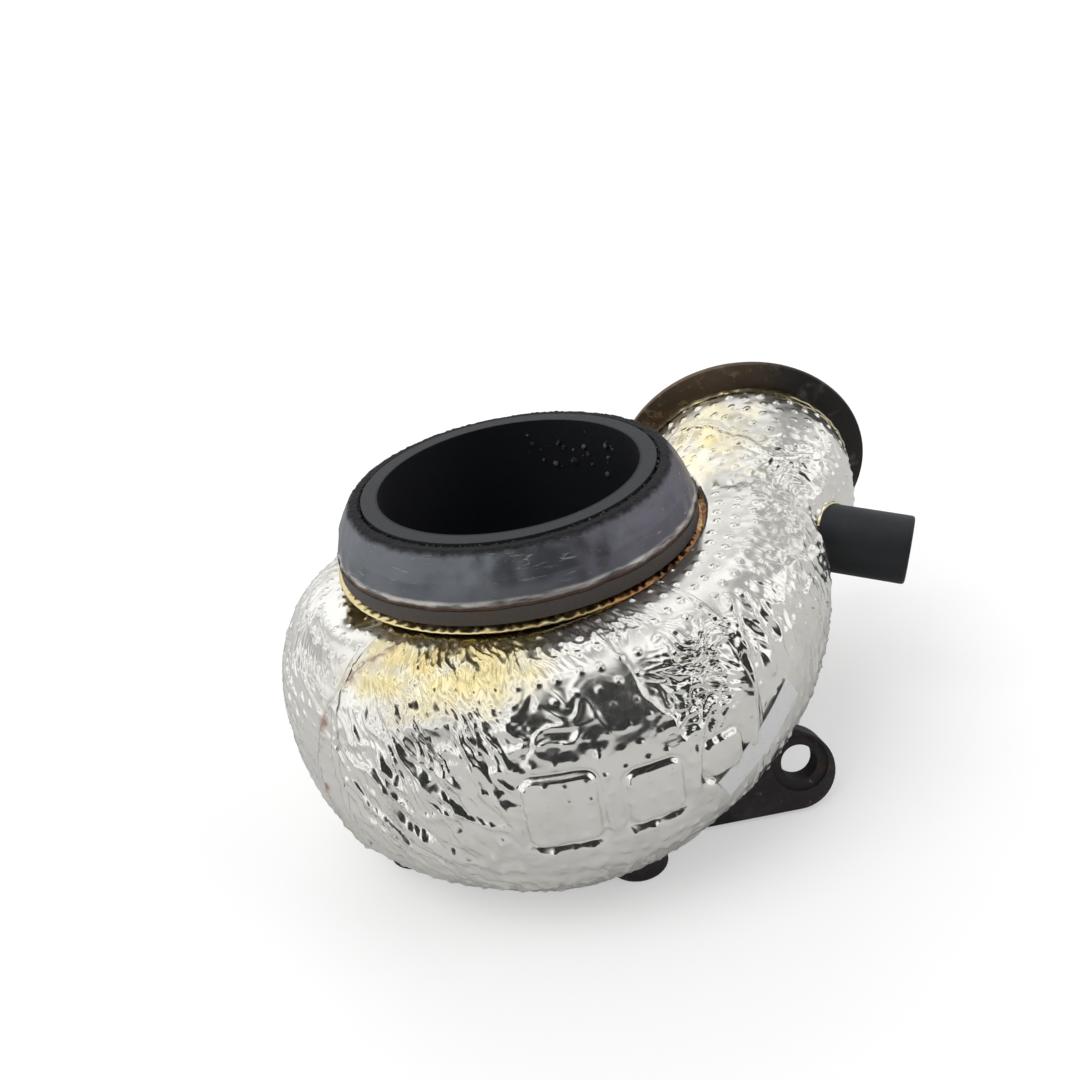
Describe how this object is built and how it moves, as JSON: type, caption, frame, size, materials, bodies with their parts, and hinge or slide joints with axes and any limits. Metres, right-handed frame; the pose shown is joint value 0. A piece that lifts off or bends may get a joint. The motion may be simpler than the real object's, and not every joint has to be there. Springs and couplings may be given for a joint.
{
  "type": "turbocharger housing cover",
  "caption": "Turbine housing scroll with a side inlet flange, bevelled outlet seal ring, bracket lug, side port pipe and an embossed foil heat jacket.",
  "frame": {"origin": "centre of the pilot seat on the bearing side, at the face that the bosses and flange rest on", "axes": "+Z along the turbine axis towards the outlet, +Y away from the front of the housing, roughly along the inlet duct, +X towards the side port"},
  "size_m": [0.2425, 0.192, 0.1303],
  "materials": {
    "cast_iron": "heat darkened casting with rust spots",
    "seal_ring": "worn grey ring, scratched",
    "flange_steel": "heat browned steel",
    "black_pipe": "matt black",
    "foil": "bright embossed steel foil, creased",
    "gold_foil": "heat tinted crimped foil",
    "fibre_mat": "ceramic fibre mat",
    "blank_strip": "satin, blank"
  },
  "bodies": {
    "root": {"turbine_housing": "cast_iron", "outlet_seal_ring": "seal_ring", "inlet_flange": "flange_steel", "side_port_pipe": "black_pipe", "foil_inlet": "foil", "insulation_inlet": "fibre_mat", "foil_neck_collar": "gold_foil", "foil_inlet_collar": "foil", "foil_port_collar": "foil", "id_strip": "blank_strip", "foil_front": "foil", "insulation_front": "fibre_mat", "seam_strip_front": "foil", "foil_left": "foil", "insulation_left": "fibre_mat", "seam_strip_left": "foil", "foil_rear": "foil", "insulation_rear": "fibre_mat", "seam_strip_rear": "foil", "foil_heel": "foil", "insulation_heel": "fibre_mat", "seam_strip_heel": "foil"}
  },
  "joints": []
}
